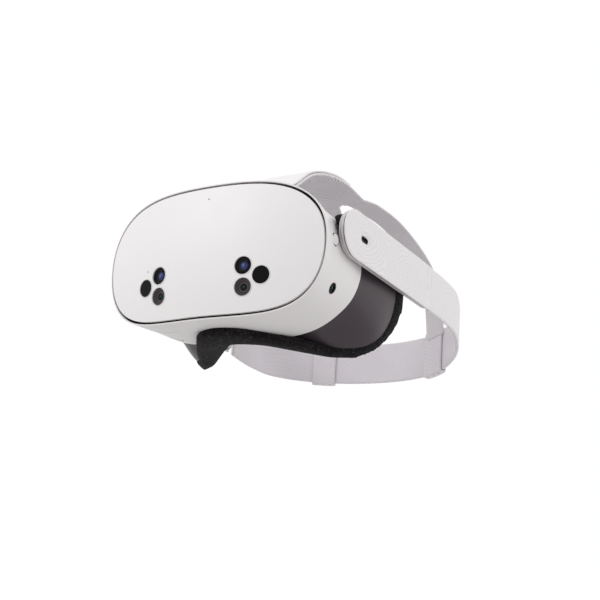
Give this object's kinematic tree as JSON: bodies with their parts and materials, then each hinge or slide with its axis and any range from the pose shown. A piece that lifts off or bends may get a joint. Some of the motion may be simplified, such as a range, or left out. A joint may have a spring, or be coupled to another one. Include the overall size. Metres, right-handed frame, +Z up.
{
  "type": "vr headset",
  "caption": "Head-worn display with curved front cover, camera clusters, sliding eyepieces, padded face interface, pivoting side arms and fabric head straps.",
  "frame": {"origin": "middle of the base of the object's bounding box, level with the lowest point of the face cushion", "axes": "+X towards the wearer's left, +Y from the front cover towards the back of the head, +Z up as worn"},
  "size_m": [0.1922, 0.3037, 0.1756],
  "materials": {
    "white_shell": "satin moulded plastic",
    "grey_plastic": "satin moulded plastic",
    "black_seal": "soft black rubber",
    "camera_rim": "polished rim",
    "camera_black": "gloss black optics",
    "indicator": "translucent light guide",
    "board_green": "solder mask",
    "metal": "machined",
    "steel": "ground",
    "cell": "foil pouch",
    "inner_black": "matt moulded plastic",
    "lens_glass": "coated lens",
    "charcoal": "satin charcoal plastic",
    "foam_knit": "black heather knit over foam",
    "white_cloth": "patterned woven cover",
    "grey_knit": "diagonal knit webbing",
    "smooth_tongue": "smooth bonded fabric"
  },
  "bodies": {
    "housing": {"front_fascia": "white_shell", "gap_gasket": "black_seal", "camera_rings": "camera_rim", "passthrough_camera_left": "camera_black", "passthrough_camera_right": "camera_black", "tracking_camera_left": "camera_black", "tracking_camera_right": "camera_black", "infrared_window_left": "camera_black", "infrared_window_right": "camera_black", "status_led": "indicator", "light_sensor": "camera_black", "power_led": "indicator", "main_shell": "white_shell", "microphones": "cell", "side_camera_left": "camera_black", "side_camera_right": "camera_black", "main_board": "board_green", "heat_sink": "metal", "battery_pack": "cell", "fan_housing": "inner_black", "chassis": "metal", "lens_rails": "steel", "sync_wheel_pin": "steel", "optics_bezel": "inner_black", "bezel_screws": "steel", "strap_bracket": "white_shell"},
    "fan": {"fan_rotor": "inner_black"},
    "eyepiece_left": {"lens_cup_left": "inner_black", "lens_left": "lens_glass", "display_panel_left": "inner_black"},
    "eyepiece_right": {"lens_cup_right": "inner_black", "lens_right": "lens_glass", "display_panel_right": "inner_black"},
    "synchroniser": {"sync_wheel": "inner_black"},
    "power_key": {"power_button": "white_shell"},
    "action_key": {"action_button": "white_shell"},
    "volume_key": {"volume_rocker": "white_shell"},
    "face_cushion": {"face_interface": "charcoal", "face_foam": "foam_knit"},
    "head_strap": {"arm_base_left": "grey_plastic", "arm_base_right": "grey_plastic", "arm_housing_left": "grey_plastic", "arm_housing_right": "grey_plastic", "arm_cover_left": "white_cloth", "arm_cover_right": "white_cloth", "speaker_left": "cell", "speaker_right": "cell", "pivot_hub_left": "grey_plastic", "pivot_hub_right": "grey_plastic", "charging_socket": "steel", "socket_tongue": "inner_black", "side_strap_left": "grey_knit", "side_strap_right": "grey_knit", "back_strap": "grey_knit", "strap_loop_left": "grey_knit", "strap_loop_right": "grey_knit", "top_strap": "grey_knit", "top_strap_tongue": "smooth_tongue", "strap_branch_left": "grey_knit", "strap_branch_right": "grey_knit"}
  },
  "joints": [
    {"name": "fan_spin", "type": "hinge", "parent": "housing", "child": "fan", "pos_m": [0, -0.14375, 0.0706], "axis": [0, 1, 0], "continuous": true},
    {"name": "eyepiece_left_slide", "type": "slide", "parent": "housing", "child": "eyepiece_left", "axis": [1, 0, 0], "range_m": [-0.0025, 0.0025]},
    {"name": "eyepiece_right_slide", "type": "slide", "parent": "housing", "child": "eyepiece_right", "axis": [-1, 0, 0], "range_m": [-0.0025, 0.0025]},
    {"name": "sync_wheel_turn", "type": "hinge", "parent": "housing", "child": "synchroniser", "pos_m": [0, -0.10675, 0.0866], "axis": [0, 1, 0], "range_deg": [-30, 30]},
    {"name": "power_press", "type": "slide", "parent": "housing", "child": "power_key", "axis": [-1, 0, 0], "range_m": [0, 0.0005], "stiffness_N_per_m": 500},
    {"name": "action_press", "type": "slide", "parent": "housing", "child": "action_key", "axis": [0, 0, 1], "range_m": [0, 0.0005], "stiffness_N_per_m": 500},
    {"name": "volume_tilt", "type": "hinge", "parent": "housing", "child": "volume_key", "pos_m": [-0.0465, -0.12225, 0.0081], "axis": [0, 1, 0], "range_deg": [-1.5, 1.5], "stiffness_Nm_per_rad": 0.3},
    {"name": "cushion_pull", "type": "slide", "parent": "housing", "child": "face_cushion", "axis": [0, 1, 0], "range_m": [0, 0.025]},
    {"name": "strap_tilt", "type": "hinge", "parent": "housing", "child": "head_strap", "pos_m": [0, -0.09275, 0.0771], "axis": [1, 0, 0], "range_deg": [-5, 5]}
  ],
  "couplings": [
    {"joint": "eyepiece_right_slide", "follows": "eyepiece_left_slide", "ratio": 1},
    {"joint": "sync_wheel_turn", "follows": "eyepiece_left_slide", "rad_per_m": -200}
  ]
}
